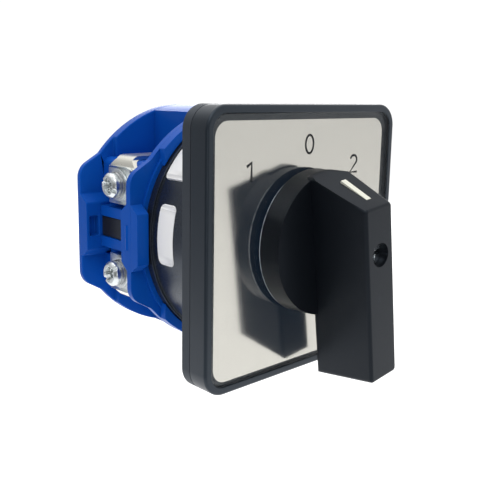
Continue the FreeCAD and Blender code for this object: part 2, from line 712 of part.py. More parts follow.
def pointer_box(play):
    half = s.pointerWide / 2 + play
    start = s.pointerOffset - play
    end = s.pointerOffset + s.pointerLength + play
    corners = [slope_spot(start, 0), slope_spot(end, 0), slope_spot(end, s.pointerThick + play),
               slope_spot(start, s.pointerThick + play)]
    return prism("side", corners, -half, half)


def on_bar_side(p, tail_y):
    """True on the two drafted sides of the bar."""
    share = (p.y - discFront.value) / (-s.barFront.value - discFront.value)
    wide = s.barWideBase.value + min(1.0, max(0.0, share)) * (barWideFront.value - s.barWideBase.value)
    return abs(abs(p.x) - wide / 2) < 1e-3


def make_handle_knob():
    disc = doc.addObject("Part::Cone", "Disc")
    bind(disc, "Radius1", s.discRadius - s.discTaper)
    bind(disc, "Radius2", s.discRadius)
    bind(disc, "Height", s.discDepth)
    disc.Placement = FreeCAD.Placement(FreeCAD.Vector(), TURNS["y"])
    bind(disc, "Placement.Base.y", discFront)
    boss = rod("y", discBack - s.discDepth / 2, -s.knobBossEnd, s.knobBossRadius)
    tail_y = plateFront - s.barTailGap
    profile = prism("side", [(tail_y, -s.barTailBack), (tail_y, barTop), (slopeStartY, barTop),
                             (-s.barFront, s.barNose), (-s.barFront, -s.barTailFront)],
                    -s.barWideBase, s.barWideBase)
    plan = prism("top", [(-s.barWideBase / 2, discFront), (-s.barWideBase / 2, tail_y),
                         (s.barWideBase / 2, tail_y), (s.barWideBase / 2, discFront),
                         (barWideFront / 2, -s.barFront), (-barWideFront / 2, -s.barFront)],
                 -s.barTailBack * 2, s.discRadius * 2)
    head_end = fuse(rod("y", -s.barFront * 2, tail_y + s.barWideBase, barTop - s.barStep),
                    box(-s.discRadius, s.discRadius, -s.barFront * 2, tail_y + s.barWideBase,
                        -s.barTailBack * 2, 0))
    bar = common(profile, plan, head_end)
    side_edges = lambda p: p.y < tail_y.value + 1e-3 and on_bar_side(p, tail_y)
    lengthwise = fillet_edges(bar, s.barEdgeRound, side_edges, skip=lambda p: p.y < 1e-3 - s.barFront.value)
    rounded = fillet_edges(lengthwise, s.barFaceRound, lambda p: p.y < 1e-3 - s.barFront.value)
    seat = s.barFront - s.handleScrewSink - s.handleScrewHeadHeight
    whole = cut(fuse(disc, boss, rounded),
                box(-(s.shaftSide / 2 + s.socketPlay), s.shaftSide / 2 + s.socketPlay,
                    -(s.shaftFront + s.socketPlay), 0, -(s.shaftSide / 2 + s.socketPlay),
                    s.shaftSide / 2 + s.socketPlay),
                rod("y", -s.barFront, -seat, s.handleScrewHead + s.screwPlay),
                rod("y", -s.barFront, -s.shaftFront, s.handleScrewRadius + s.screwPlay),
                pointer_box(s.socketPlay))
    label_piece(lean(whole), "handle_knob")


def make_pointer_inlay():
    label_piece(lean(cut(pointer_box(size_of(0)), box(-1, 1, 0, 1, 0, 1))), "pointer_inlay")


def make_handle_screw():
    front = -(s.barFront - s.handleScrewSink)
    seat = front + s.handleScrewHeadHeight
    head = rod("y", front, seat, s.handleScrewHead)
    shank = rod("y", seat - s.screwPlay, seat + s.handleScrewLength, s.handleScrewRadius)
    half = s.slotWide / 2
    slots = [box(-half, half, front, front + s.slotDeep, -s.handleScrewHead, s.handleScrewHead),
             box(-s.handleScrewHead, s.handleScrewHead, front, front + s.slotDeep, -half, half)]
    label_piece(lean(cut(fuse(head, shank), *slots)), "handle_screw")


# Contact deck

def flange(start, end):
    """The outline that the blue mouldings share: two arches and four ears, extruded along Y."""
    wide = earHalf
    arches = common(rod("y", start, end, archRadius, 0, -archDrop),
                    rod("y", start, end, archRadius, 0, archDrop),
                    box(-wide, wide, start, end, -archRadius, archRadius))
    x, z, inner = earCorner, earInnerZ, earInnerX
    ears = prism("front", [(-inner, -z), (inner, -z), (wide, -x), (wide, x), (inner, z), (-inner, z),
                           (-wide, x), (-wide, -x)], start, end)
    both = fuse(arches, ears)
    outer = fillet_edges(both, s.earRound, near_line(earHalf.value, earCorner.value))
    return fillet_edges(outer, s.earHollow, near_line(*ear_crossing()))


def near_line(x, z):
    """A test for points on the four lines along Y at plus or minus x and z."""
    return lambda p: abs(abs(p.x) - x) < 0.01 and abs(abs(p.z) - z) < 0.01


def ear_crossing():
    """Where an ear's straight edge meets the arch, in X and Z."""
    run = earHalf.value - earInnerX.value
    rise = earInnerZ.value - earCorner.value
    height = earCorner.value + archDrop.value
    a = run ** 2 + rise ** 2
    b = 2 * (height * rise - earHalf.value * run)
    c = earHalf.value ** 2 + height ** 2 - archRadius.value ** 2
    share = (-b - math.sqrt(b * b - 4 * a * c)) / (2 * a)
    return earHalf.value - run * share, earCorner.value + rise * share


def tie_holes(start, end):
    return [rod("y", start, end, s.tieRadius + s.screwPlay, tieOffset * side, 0) for side in (-1, 1)]


def mid_block(side, inner, points):
    """A raised block in the middle of a side edge; points are its outline across X."""
    ends = (inner, earHalf) if side > 0 else (-earHalf, -inner)
    return prism("side", points, ends[0], ends[1])


def make_adapter_plate():
    inner = drumRimRadius + s.rimPlayBlue
    layer = common(flange(archFront, adapterBack),
                   box(-archLayerHalf, archLayerHalf, archFront, adapterBack, -archRadius, archRadius))
    floor = rod("y", s.drumDepth, adapterBack, inner + s.adapterFloor)
    points = [(midFrontY, -s.midFront), (midFrontY, s.midFront), (adapterBack, s.midBack),
              (adapterBack, -s.midBack)]
    blocks = [mid_block(side, inner, points) for side in (-1, 1)]
    whole = cut(fuse(layer, floor, *blocks), rod("y", midFrontY, s.drumDepth, inner),
                rod("y", midFrontY, adapterBack, s.hubHole), *tie_holes(archFront, adapterBack))
    label_piece(whole, "adapter_plate")


def make_deck_housing():
    plate = flange(adapterBack, flangeBack)
    block = box(-coverLayerHalf, coverLayerHalf, adapterBack, blockBack, -blockTop, blockTop)
    long_edge = near_line(blockHalf.value, blockTop.value)
    turn = s.terminalBend - s.terminalThick
    slab = box(-blockHalf, blockHalf, adapterBack, coverMidY - s.guidePlay, -blockTop, blockTop)
    cheeks = fillet_edges(slab, turn, long_edge)
    corners = []
    for side in (-1, 1):
        low, high = (coverLayerHalf, blockHalf) if side > 0 else (-blockHalf, -coverLayerHalf)
        for z0, z1 in ((s.midBack, blockTop), (-blockTop, -s.midBack)):
            corners.append(fillet_edges(box(low, high, adapterBack, coverFront, z0, z1), turn, long_edge))
    tower = common(flange(adapterBack, blockBack),
                   box(-s.towerHalf, s.towerHalf, adapterBack, blockBack, -archRadius, archRadius))
    points = [(adapterBack, -s.midBack), (adapterBack, s.midBack), (flangeBack, s.midBack),
              (midBackY, s.midFront), (midBackY, -s.midFront), (flangeBack, -s.midBack)]
    inner = blockHalf - s.terminalThick
    blocks = [mid_block(side, inner, points) for side in (-1, 1)]
    rails = box(-railFace, railFace, adapterBack, coverMidY - s.guidePlay, -s.railTop, s.railTop)
    latches = [rod("z", -s.latchHalf, s.latchHalf, s.latchRadius, (earHalf - s.latchSink) * side,
                   flangeBack) for side in (-1, 1)]
    solid = fuse(plate, block, cheeks, tower, rails, *corners, *blocks, *latches)
    label_piece(cut(solid, *deck_hollows()), "deck_housing")


def deck_hollows():
    back = blockBack
    half = contactHalf
    floor = blockTop
    stem = s.stemHalf + s.slidePlay
    stem_front = terminalY - s.stemDepthHalf - s.slidePlay
    hollows = [rod("y", adapterBack + s.deckFloor, back, chamberRadius),
               rod("y", adapterBack, back, s.camHub + s.runningPlay)]
    for level in (-1, 1):
        low, high = (floor, contactTop) if level > 0 else (-contactTop, -floor)
        hollows.append(box(-half, half, contactFront, back, low, high))
        low, high = (chamberRadius / 2, floor) if level > 0 else (-floor, -(chamberRadius / 2))
        hollows.append(box(-stem, stem, stem_front, back, low, high))
        tongue = s.tongueHalf + s.guidePlay
        low, high = (floor, tongueTop + s.guidePlay) if level > 0 else (-(tongueTop + s.guidePlay), -floor)
        hollows.append(box(-blockHalf, blockHalf, terminalY - tongue, terminalY + tongue, low, high))
        for side in (-1, 1):
            start, end = (blockHalf - s.terminalScrewLength, blockHalf)
            if side < 0:
                start, end = -end, -start
            hollows.append(rod("x", start, end, s.terminalScrewRadius + s.screwPlay, terminalY,
                               terminalZ * level))
    for side in (-1, 1):
        start, end = (channelFace, railFace) if side > 0 else (-railFace, -channelFace)
        hollows.append(box(start, end, midBackY, coverMidY, -s.channelHalf, s.channelHalf))
    return hollows + tie_holes(adapterBack, back)


def make_rear_cover():
    plate = flange(coverFront, coverBack)
    layer = common(flange(blockBack, coverFront),
                   box(-coverLayerHalf, coverLayerHalf, blockBack, coverFront, -archRadius, archRadius))
    points = [(coverMidY, -s.midFront), (coverMidY, s.midFront), (coverFront, s.midBack),
              (coverFront, -s.midBack)]
    inner = coverLayerHalf + s.guidePlay
    blocks = [mid_block(side, inner, points) for side in (-1, 1)]
    pockets = []
    for side in (-1, 1):
        start, end = (coverPocketFrom, coverPocketTo)
        if side < 0:
            start, end = -end, -start
        pockets.append(box(start, end, coverMidY, coverMidY + s.coverPocketDepth, -s.coverPocketHalf,
                           s.coverPocketHalf))
    bore = rod("y", blockBack, blockBack + s.journalLength + s.stopPlay, s.journalRadius + s.runningPlay)
    whole = cut(fuse(plate, layer, *blocks), bore, *pockets, *tie_holes(blockBack, coverBack))
    label_piece(whole, "rear_cover")


def make_tie_bolts():
    bolts, nuts = [], []
    for side in (-1, 1):
        x = tieOffset * side
        head = rod("y", coverBack, coverBack + s.tieHeadHeight, s.tieHead, x, 0)
        shank = rod("y", s.drumFloor / 2, coverBack + s.screwPlay, s.tieRadius, x, 0)
        half = s.slotWide / 2
        end = coverBack + s.tieHeadHeight
        slot = box(x - s.tieHead, x + s.tieHead, end - s.slotDeep, end, -half, half)
        bolts.append(cut(fuse(head, shank), slot))
        corner = s.nutFlats / root(size_of(3))
        spots = [(x + corner * cosine(60 * i), corner * sine(60 * i)) for i in range(6)]
        hexagon = prism("front", spots, s.drumFloor, s.drumFloor + s.nutHeight)
        nuts.append(cut(hexagon, rod("y", s.drumFloor, s.drumFloor + s.nutHeight,
                                     s.tieRadius + s.runningPlay, x, 0)))
    group("tie_bolts", bolts)
    group("tie_nuts", nuts)


# Cam and contact carriages

def cam_face():
    """Two mirrored spirals, so that both plungers travel in step with the angle."""
    rise = s.contactTravel.value / s.turnStep.value
    halves = []
    for mirror in (1, -1):
        spots = []
        for i in range(19):
            degrees = i * 10.0
            radius = camMean.value + rise * (degrees - 90)
            angle = math.radians(degrees)
            spots.append(FreeCAD.Vector(radius * math.cos(angle), 0, mirror * radius * math.sin(angle)))
        curve = Part.BSplineCurve()
        curve.interpolate(spots)
        halves.append(curve.toShape())
    return Part.Face(Part.Wire(Part.__sortEdges__(halves)))


def make_contact_cam():
    face = cam_face()
    face.translate(FreeCAD.Vector(0, camFront.value, 0))
    lobe = coded("CamLobe", face.extrude(FreeCAD.Vector(0, s.camDepth.value, 0)))
    hub = rod("y", adapterBack, blockBack - s.stopPlay, s.camHub)
    label_piece(lean(cut(fuse(lobe, hub), square_bore())), "contact_cam")


def carriage_levels():
    """Heights of a contact carriage at its place with the handle at zero, from the cam outwards."""
    nose = camMean + s.camPlay + s.plungerNose
    tip_low = tipTop + s.contactTravel + s.contactClear
    bridge_low = tip_low + s.tipHeight
    bridge_high = bridge_low + s.bridgeThick
    return nose, tip_low, bridge_low, bridge_high


def make_plunger(label, level):
    nose, tip_low, bridge_low, bridge_high = carriage_levels()
    body = new_body(label)
    front = terminalY - s.stemDepthHalf
    up = lambda z: (z * level) - restShift
    tip = body_sketch(body, "front", front)
    draw_circle(tip, 0, up(nose), s.plungerNose)
    pad_back(body, tip, s.stemDepthHalf * 2)
    stem = body_sketch(body, "front", front)
    w, n, shoulder = s.stemHalf, s.neckHalf, nose + s.plungerNose
    right = [(s.plungerNose, nose), (w, shoulder), (w, bridge_low)]
    left = [(-x, z) for x, z in reversed(right)]
    draw_polygon(stem, [(x, up(z)) for x, z in right + left])
    pad_back(body, stem, s.stemDepthHalf * 2)
    neck = body_sketch(body, "front", terminalY - n)
    draw_box(neck, -n, n, up(bridge_low - s.bridgeThick), up(bridge_high + s.neckHeight))
    pad_back(body, neck, n * 2)


def make_bridge(label, level):
    nose, tip_low, bridge_low, bridge_high = carriage_levels()
    low, high = (bridge_low, bridge_high) if level > 0 else (-bridge_high, -bridge_low)
    y0, y1 = terminalY - s.bridgeDepthHalf, terminalY + s.bridgeDepthHalf
    bar = box(-s.bridgeHalf, s.bridgeHalf, y0, y1, low - restShift, high - restShift)
    neck = s.neckHalf + s.guidePlay
    window = box(-neck, neck, terminalY - neck, terminalY + neck, low - restShift, high - restShift)
    label_piece(cut(bar, window), label)


def make_bridge_tips(label, level):
    nose, tip_low, bridge_low, bridge_high = carriage_levels()
    low, high = (tip_low, bridge_low) if level > 0 else (-bridge_low, -tip_low)
    group(label, [rod("z", low - restShift, high - restShift, s.tipRadius, s.tipOffset * side, terminalY)
                  for side in (-1, 1)])


def make_fixed_tips():
    items = []
    for level in (-1, 1):
        low, high = (tongueTop, tipTop) if level > 0 else (-tipTop, -tongueTop)
        for side in (-1, 1):
            items.append(rod("z", low, high, s.tipRadius, s.tipOffset * side, terminalY))
    group("fixed_contact_tips", items)


def make_contact_spring(label, level):
    nose, tip_low, bridge_low, bridge_high = carriage_levels()
    low = bridge_high - restShift * level + s.springPlay
    make_coil(label, level, s.contactSpringRadius, s.contactSpringWire, low, contactTop - s.springPlay,
              terminalY)


def make_carriages():
    for word, level in (("upper", 1), ("lower", -1)):
        make_plunger("plunger_" + word, level)
        make_bridge("contact_bridge_" + word, level)
        make_bridge_tips("bridge_tips_" + word, level)
        make_contact_spring("contact_spring_" + word, level)
    make_fixed_tips()


# Terminals

CORNERS = (("upper_left", -1, 1), ("upper_right", 1, 1), ("lower_left", -1, -1), ("lower_right", 1, -1))


def outward(side, start, end):
    """Two places along X, measured outwards from the middle, in rising order for either side."""
    return (size_of(start), size_of(end)) if side > 0 else (-size_of(end), -size_of(start))


def make_terminal(label, side, level):
    """A strip bent over the deck's corner: a plate for the screw and a tongue for the fixed tip."""
    outer = blockHalf + s.terminalThick
    under = tongueTop - s.terminalThick
    profile = [(s.tongueEnd, under), (blockHalf, under), (blockHalf, terminalBottom),
               (outer, terminalBottom), (outer, tongueTop), (s.tongueEnd, tongueTop)]
    wide = s.terminalHalfWide
    strip = prism("front", [(x * side, z * level) for x, z in profile], terminalY - wide, terminalY + wide)
    inner_bend = fillet_edges(strip, s.terminalBend - s.terminalThick, near_line(blockHalf.value, under.value))
    bent = fillet_edges(inner_bend, s.terminalBend, near_line(outer.value, tongueTop.value))
    tongue, shoulder = s.tongueHalf, tongueTop - s.terminalBend
    foot, low = wide - s.terminalRound, terminalBottom + s.terminalRound
    right = [(foot, terminalBottom), (wide, low), (wide, shoulder), (tongue, tongueTop - s.terminalThick),
             (tongue, tongueTop + s.terminalThick)]
    left = [(-y, z) for y, z in reversed(right)]
    start, end = outward(side, s.tongueEnd, outer)
    outline = prism("side", [(terminalY + y, z * level) for y, z in right + left], start, end)
    hole = rod("x", start, end, s.terminalScrewRadius + s.runningPlay, terminalY, terminalZ * level)
    label_piece(cut(common(bent, outline), hole), label)


def clamp_face():
    return blockHalf + s.terminalThick


def make_wire_clamp(label, side, level):
    inner = clamp_face()
    outer = inner + s.clampThick
    lip = s.clampLip
    flat = s.clampFlatHalf
    z = terminalZ * level
    points = [(inner, -flat), (inner, flat), (inner + lip, flat + lip), (outer + lip, flat + lip),
              (outer, flat), (outer, -flat), (outer + lip, -(flat + lip)), (inner + lip, -(flat + lip))]
    spots = [(x * side, y + z) for x, y in points]
    half = s.clampHalfWide
    plate = prism("front", spots, terminalY - half, terminalY + half)
    corner = lambda p: (abs(abs(p.y - terminalY.value) - half.value) < 0.01
                        and abs(abs(p.z - z.value) - (flat + lip).value) < 0.01)
    rounded = fillet_edges(plate, s.clampRound, corner)
    start, end = outward(side, inner, outer)
    hole = rod("x", start, end, s.terminalScrewRadius + s.screwPlay, terminalY, z)
    return cut(rounded, hole)


def washer(side, level, start, thick, radius, hole):
    low, high = outward(side, start, start + thick)
    z = terminalZ * level
    return cut(rod("x", low, high, radius, terminalY, z), rod("x", low, high, hole, terminalY, z))


def make_washers():
    flats, springs = [], []
    flat_from = clamp_face() + s.clampThick
    spring_from = flat_from + s.flatWasherThick
    hole = s.terminalScrewRadius + s.screwPlay
    for word, side, level in CORNERS:
        flats.append(washer(side, level, flat_from, s.flatWasherThick, s.flatWasherRadius, hole))
        ring = washer(side, level, spring_from, s.springWasherThick, s.springWasherRadius, hole)
        low, high = outward(side, spring_from, spring_from + s.springWasherThick)
        gap = s.springWasherGap / 2
        z = terminalZ * level
        split = box(low, high, terminalY - gap, terminalY + gap, z, z + s.springWasherRadius)
        springs.append(cut(ring, split))
    group("flat_washers", flats)
    group("spring_washers", springs)


def make_terminal_screw(label, side, level):
    seat = clamp_face() + s.clampThick + s.flatWasherThick + s.springWasherThick
    top = seat + s.terminalHeadHeight
    z = terminalZ * level
    low, high = outward(side, seat, top - s.terminalDome)
    head = rod("x", low, high, s.terminalHead, terminalY, z)
    dome = doc.addObject("Part::Cone", "Dome")
    bind(dome, "Radius1", s.terminalHead)
    bind(dome, "Radius2", s.terminalHead - s.terminalDome)
    bind(dome, "Height", s.terminalDome)
    dome.Placement = FreeCAD.Placement(FreeCAD.Vector(), FreeCAD.Rotation(FreeCAD.Vector(0, 1, 0), 90 * side))
    bind(dome, "Placement.Base.x", (top - s.terminalDome) * side)
    bind(dome, "Placement.Base.y", terminalY)
    bind(dome, "Placement.Base.z", z)
    low, high = outward(side, seat - s.terminalScrewLength, seat + s.screwPlay)
    shank = rod("x", low, high, s.terminalScrewRadius, terminalY, z)
    low, high = outward(side, top - s.slotDeep, top)
    half = s.slotWide / 2
    slots = [box(low, high, terminalY - s.terminalHead, terminalY + s.terminalHead, z - half, z + half),
             box(low, high, terminalY - half, terminalY + half, z - s.terminalHead / 2,
                 z + s.terminalHead / 2)]
    label_piece(cut(fuse(head, dome, shank), *slots), label)


def make_terminals():
    for word, side, level in CORNERS:
        make_terminal("terminal_" + word, side, level)
        make_terminal_screw("terminal_screw_" + word, side, level)
    group("wire_clamps", [make_wire_clamp("", side, level) for word, side, level in CORNERS])
    make_washers()


def make_marker(label, side):
    body = new_body(label)
    start, end = outward(side, channelFace, channelFace + s.markerThick)
    outline = body_sketch(body, "side", start)
    play = s.markerPlay
    length = coverMidY - midBackY
    draw_rounded(outline, length / 2 - play, s.channelHalf - play, s.markerThick / 2,
                 (midBackY + length / 2, 0))
    pad(body, outline, end - start)


def build_switch():
    make_bezel_frame()
    make_window_and_card()
    make_base_plate()
    make_base_screws()
    make_drum_housing()
    make_star_wheel()
    make_stop_plate()
    make_pawl("detent_pawl_upper", 0)
    make_pawl("detent_pawl_lower", 180)
    make_pawl_springs()
    make_drum_labels()
    make_shaft()
    make_handle_knob()
    make_pointer_inlay()
    make_handle_screw()
    make_adapter_plate()
    make_deck_housing()
    make_rear_cover()
    make_tie_bolts()
    make_contact_cam()
    make_carriages()
    make_terminals()
    make_marker("marker_strip_left", -1)
    make_marker("marker_strip_right", 1)


def check_and_export():
    doc.recompute()
    faults = [item.Name for item in doc.Objects if "Invalid" in item.State or "Error" in item.State]
    if faults:
        raise RuntimeError("failed objects: %s" % ", ".join(faults))
    os.makedirs("parts", exist_ok=True)
    for item in pieces:
        shape = item.Shape
        if shape.isNull() or not shape.isValid() or not shape.Solids:
            raise RuntimeError("bad shape: %s" % item.Label)
        shape.exportStep("parts/%s.step" % item.Label)
        size = shape.optimalBoundingBox(False)
        print("%-27s %d solids %9.1f mm3" % (item.Label, len(shape.Solids), shape.Volume),
              "x %.2f..%.2f" % (size.XMin, size.XMax), "y %.2f..%.2f" % (size.YMin, size.YMax),
              "z %.2f..%.2f" % (size.ZMin, size.ZMax))


build_switch()
check_and_export()
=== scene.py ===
import math
import bpy
from mathutils import Matrix, Vector


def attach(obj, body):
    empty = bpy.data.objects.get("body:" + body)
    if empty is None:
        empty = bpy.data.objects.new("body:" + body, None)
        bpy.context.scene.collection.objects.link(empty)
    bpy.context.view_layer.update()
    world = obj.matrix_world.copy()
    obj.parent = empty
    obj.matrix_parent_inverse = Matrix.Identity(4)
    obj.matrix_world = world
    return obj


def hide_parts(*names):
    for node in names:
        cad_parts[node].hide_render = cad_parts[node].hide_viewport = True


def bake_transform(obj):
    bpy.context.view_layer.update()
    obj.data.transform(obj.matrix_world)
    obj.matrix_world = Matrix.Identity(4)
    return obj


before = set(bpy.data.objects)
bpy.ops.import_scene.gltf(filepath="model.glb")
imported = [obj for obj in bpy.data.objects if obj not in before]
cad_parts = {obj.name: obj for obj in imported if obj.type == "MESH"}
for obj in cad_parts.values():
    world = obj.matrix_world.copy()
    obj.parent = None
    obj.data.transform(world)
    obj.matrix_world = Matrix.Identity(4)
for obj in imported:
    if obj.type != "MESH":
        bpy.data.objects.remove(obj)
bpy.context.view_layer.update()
mm = 0.001
bpy.context.scene.view_settings.view_transform = "Standard"
print("frame loaded:", len(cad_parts), "nodes")


# an output socket, with the maths that the shaders need
class Wire:
    def __init__(self, graph, socket):
        self.graph = graph
        self.socket = socket

    def join(self, operation, other):
        return self.graph.add("ShaderNodeMath", {"operation": operation}, {0: self, 1: other})

    def __add__(self, other):
        return self.join("ADD", other)

    def __mul__(self, other):
        return self.join("MULTIPLY", other)

    def above(self, limit):
        return self.join("GREATER_THAN", limit)

    def step(self, low, high, top=1.0):
        # smooth rise from 0 at low to the top value at high
        return self.graph.add("ShaderNodeMapRange", {"interpolation_type": "SMOOTHSTEP"},
                              {"Value": self, "From Min": low, "From Max": high, "To Max": top})

    def along(self, direction):
        return self.graph.add("ShaderNodeVectorMath", {"operation": "DOT_PRODUCT"},
                              {0: self, 1: direction}, take="Value")


class Graph:
    def __init__(self, tree):
        self.tree = tree

    def add(self, kind, settings=None, values=None, take=0):
        node = self.tree.nodes.new(kind)
        for key, value in (settings or {}).items():
            setattr(node, key, value)
        for key, value in (values or {}).items():
            self.put(node.inputs[key], value)
        return Wire(self, node.outputs[take])

    def put(self, socket, value):
        if isinstance(value, Wire):
            self.tree.links.new(value.socket, socket)
        elif isinstance(value, tuple) and len(value) == 3 and socket.type == "RGBA":
            socket.default_value = (*value, 1.0)
        else:
            socket.default_value = value


class Finish(Graph):
    def __init__(self, name):
        self.material = bpy.data.materials.new(name)
        self.material.use_nodes = True
        super().__init__(self.material.node_tree)
        self.surface = self.tree.nodes["Principled BSDF"]

    def shade(self, **values):
        # an underscore stands for the space in a socket's name
        for key, value in values.items():
            self.put(self.surface.inputs[key.replace("_", " ")], value)

    def place(self):
        return self.add("ShaderNodeTexCoord", take="Object")

    def stretched(self, scale, turn=(0.0, 0.0, 0.0)):
        values = {"Vector": self.place(), "Scale": scale, "Rotation": turn}
        return self.add("ShaderNodeMapping", None, values)

    def noise(self, scale, detail=3.0, rough=0.5, where=None):
        values = {"Vector": where or self.place(), "Scale": scale,
                  "Detail": detail, "Roughness": rough}
        return self.add("ShaderNodeTexNoise", None, values)

    def axis(self, name):
        return self.add("ShaderNodeSeparateXYZ", None, {0: self.place()}, take=name)

    def blend(self, mask, first, second):
        # a colour mix has its colours on sockets 6 and 7, and its result on output 2
        values = {0: mask, 6: first, 7: second}
        return self.add("ShaderNodeMix", {"data_type": "RGBA"}, values, take=2)

    def bump(self, height, strength, depth=0.03 * mm):
        values = {"Height": height, "Strength": strength, "Distance": depth}
        return self.add("ShaderNodeBump", None, values)


# finishes
coolSheen = (0.72, 0.84, 1.0)


def mouldedPlastic(name, look):
    # fine moulded skin: slow colour drift, a fine grain and faint dust
    finish = Finish(name)
    drift = finish.noise(look["driftScale"])
    grain = finish.noise(look["grainScale"], detail=2.0, rough=0.6)
    dust = finish.noise(look["dustScale"], detail=6.0, rough=0.7).step(low=0.62, high=0.78)
    dust = dust * look["dust"]
    colour = finish.blend(drift, look["dark"], look["light"])
    finish.shade(Base_Color=finish.blend(dust, colour, look["dustColour"]))
    finish.shade(Roughness=grain * look["grainRough"] + look["rough"] + dust * look["dustRough"])
    finish.shade(Normal=finish.bump(grain, look["grainBump"]))
    finish.shade(Specular_IOR_Level=look["gloss"], Specular_Tint=look["sheen"])
    return finish.material


def blackPlastic(name, dark, light, rough, gloss):
    return mouldedPlastic(name, {
        "dark": dark, "light": light, "driftScale": 90.0, "rough": rough, "gloss": gloss,
        "sheen": coolSheen, "grainScale": 5200.0, "grainRough": 0.12, "grainBump": 0.25,
        "dustScale": 900.0, "dust": 0.03, "dustRough": 0.3, "dustColour": (0.16, 0.17, 0.19)})


def bluePlastic(name):
    return mouldedPlastic(name, {
        "dark": (0.0026, 0.066, 0.375), "light": (0.0042, 0.083, 0.450), "driftScale": 60.0,
        "rough": 0.26, "gloss": 0.13, "sheen": (0.35, 0.62, 1.0),
        "grainScale": 3000.0, "grainRough": 0.08, "grainBump": 0.12,
        "dustScale": 700.0, "dust": 0.02, "dustRough": 0.3, "dustColour": (0.20, 0.28, 0.50)})


def handlePlastic(name):
    # a worn skin, with a painted highlight: a pale line along the left part of the disc's rear edge,
    # standing in for light caught by that rounded edge
    look = {"dark": (0.0020, 0.0028, 0.0046), "light": (0.0034, 0.0046, 0.0070),
            "driftScale": 90.0, "rough": 0.36, "gloss": 0.28, "grainScale": 5200.0,
            "grainRough": 0.12, "grainBump": 0.35}
    wear = {"colour": (0.16, 0.18, 0.22), "speckScale": 2300.0, "specks": 0.10,
            "scratchScale": (260.0, 2600.0, 260.0), "scratchTurn": (0.5, 0.0, 0.3),
            "scratches": 0.05, "scratchRough": 0.08}
    # edge holds the painted highlight: its colour, the rim radius, its width and the span to the left
    # where it shows
    edge = {"colour": (0.50, 0.55, 0.62), "radius": 17.05 * mm, "wide": 0.16 * mm,
            "from": 9.0 * mm, "to": 13.0 * mm, "gapScale": 420.0}
    rear = max(spot.co.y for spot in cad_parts["handle_knob"].data.vertices
               if math.hypot(spot.co.x, spot.co.z) > edge["radius"])
    finish = Finish(name)
    drift = finish.noise(look["driftScale"])
    grain = finish.noise(look["grainScale"], detail=2.0, rough=0.6)
    specks = finish.noise(wear["speckScale"], rough=0.6).step(low=0.73, high=0.79)
    brushed = finish.stretched(wear["scratchScale"], wear["scratchTurn"])
    scratches = finish.noise(1.0, detail=2.0, where=brushed).step(low=0.72, high=0.80)
    across, deep, up = (finish.axis(axis) for axis in ("X", "Y", "Z"))
    # painted highlight: a pale line on the disc's rear rim, over its left part, broken up by noise
    line = deep.above(rear - edge["wide"]) * (across * across + up * up).above(edge["radius"] ** 2)
    line = line * (across * -1.0).step(edge["from"], edge["to"])
    line = line * finish.noise(edge["gapScale"]).step(low=0.30, high=0.55)
    worn = specks * wear["specks"] + scratches * wear["scratches"]
    colour = finish.blend(worn, finish.blend(drift, look["dark"], look["light"]), wear["colour"])
    finish.shade(Base_Color=finish.blend(line, colour, edge["colour"]))
    rough = grain * look["grainRough"] + look["rough"] + scratches * wear["scratchRough"]
    finish.shade(Roughness=rough, Specular_IOR_Level=look["gloss"])
    finish.shade(Specular_Tint=coolSheen, Normal=finish.bump(grain, look["grainBump"]))
    return finish.material


def brushedCard(name):
    # silver card, brushed up and down, with a soft mirror and a faint painted blue glow that stands
    # in for the blue its mirror shows
    look = {"brush": (5200.0, 5200.0, 70.0), "broadScale": 28.0, "strokes": 0.7, "broad": 0.3,
            "silver": (0.622, 0.611, 0.580), "shade": (0.560, 0.551, 0.525), "metal": 0.97,
            "rough": 0.085, "strokeRough": 0.05, "gloss": 0.2, "bump": 0.035, "depth": 0.02 * mm,
            "blue": (0.06, 0.38, 1.0), "glow": 0.014}
    finish = Finish(name)
    strokes = finish.noise(1.0, detail=4.0, rough=0.6, where=finish.stretched(look["brush"]))
    broad = finish.noise(look["broadScale"], detail=2.0)
    mask = strokes * look["strokes"] + broad * look["broad"]
    finish.shade(Base_Color=finish.blend(mask, look["shade"], look["silver"]))
    finish.shade(Metallic=look["metal"], Roughness=strokes * look["strokeRough"] + look["rough"])
    finish.shade(Specular_IOR_Level=look["gloss"])
    # painted reflection: the card emits a faint blue glow
    finish.shade(Emission_Color=look["blue"], Emission_Strength=look["glow"])
    finish.shade(Normal=finish.bump(strokes, look["bump"], look["depth"]))
    return finish.material


def wornMetal(name, tint, rough):
    look = {"turnScale": 1400.0, "turnRough": 0.16, "bump": 0.18,
            "spotScale": 420.0, "spots": 0.5, "spotRough": 0.10, "darker": 0.62}
    finish = Finish(name)
    turning = finish.noise(look["turnScale"], detail=4.0, rough=0.6)
    spots = finish.noise(look["spotScale"], detail=5.0, rough=0.65).step(low=0.55, high=0.75)
    darker = tuple(part * look["darker"] for part in tint)
    finish.shade(Base_Color=finish.blend(spots * look["spots"], tint, darker), Metallic=1.0)
    finish.shade(Roughness=turning * look["turnRough"] + rough + spots * look["spotRough"])
    finish.shade(Normal=finish.bump(turning, look["bump"]))
    return finish.material


def clearCover(name):
    # the shine is a small constant share, so that the card and its digits show from any side
    look = {"clear": (0.975, 0.972, 0.960), "shine": (1.0, 1.0, 1.0), "rough": 0.03,
            "share": 0.012, "haze": 0.008, "specks": 0.03}
    finish = Finish(name)
    haze = finish.noise(300.0).step(low=0.3, high=0.9)
    specks = finish.noise(2600.0, detail=2.0).step(low=0.74, high=0.80)
    clear = finish.add("ShaderNodeBsdfTransparent", None, {"Color": look["clear"]})
    mirror = {"Color": look["shine"], "Roughness": look["rough"]}
    shine = finish.add("ShaderNodeBsdfGlossy", None, mirror)
    mask = haze * look["haze"] + specks * look["specks"] + look["share"]
    mixed = finish.add("ShaderNodeMixShader", None, {0: mask, 1: clear, 2: shine})
    finish.put(finish.tree.nodes["Material Output"].inputs["Surface"], mixed)
    return finish.material


